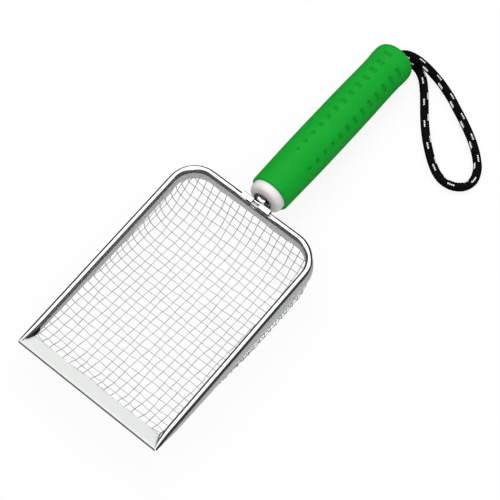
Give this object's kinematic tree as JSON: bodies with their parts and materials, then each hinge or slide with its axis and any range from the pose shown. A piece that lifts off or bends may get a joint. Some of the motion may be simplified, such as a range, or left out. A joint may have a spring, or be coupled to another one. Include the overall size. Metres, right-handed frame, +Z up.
{
  "type": "soil sieve scoop",
  "caption": "Hand-held soil sieve: a deep woven-wire scoop in a folded metal rim with a flat scooping lip, a screw-on soft grip and a corded wrist loop.",
  "frame": {"origin": "on the ground, in the middle of the box around the sieve without its wrist cord", "axes": "+Z up, +Y from the scooping lip to the end of the grip, +X to the right as seen from the lip"},
  "size_m": [0.1642, 0.3578, 0.0443],
  "materials": {
    "bright_steel": "bright rolled stainless strip",
    "plain_steel": "plain steel",
    "mesh_steel": "drawn stainless wire",
    "chrome_plate": "polished plate",
    "brass_insert": "turned",
    "white_plastic": "satin moulding",
    "green_grip": "satin soft-touch moulding",
    "black_cord": "braid with white tracer"
  },
  "bodies": {
    "basket": {"rim_channel": "bright_steel", "rim_core_wire": "plain_steel", "wire_mesh": "mesh_steel", "front_lip": "bright_steel", "corner_gusset_left": "plain_steel", "corner_gusset_right": "plain_steel", "saddle_bracket": "bright_steel", "handle_bolt": "plain_steel", "flat_washer": "chrome_plate", "flange_nut": "chrome_plate"},
    "wrist_strap": {"wrist_cord": "black_cord", "cord_knot": "black_cord"},
    "handle": {"handle_core": "white_plastic", "threaded_insert": "brass_insert", "core_end_plug": "white_plastic", "grip_sleeve": "green_grip"}
  },
  "joints": [
    {"name": "handle_travel", "type": "slide", "parent": "basket", "child": "wrist_strap", "axis": [0, 0.996, -0.0889], "range_m": [0, 0.01401]},
    {"name": "handle_turn", "type": "hinge", "parent": "wrist_strap", "child": "handle", "pos_m": [0, 0.0075, 0.03035], "axis": [0, 0.996, -0.0889], "range_deg": [0, 5040]}
  ],
  "couplings": [
    {"joint": "handle_travel", "follows": "handle_turn", "m_per_rad": 0.00015915}
  ]
}
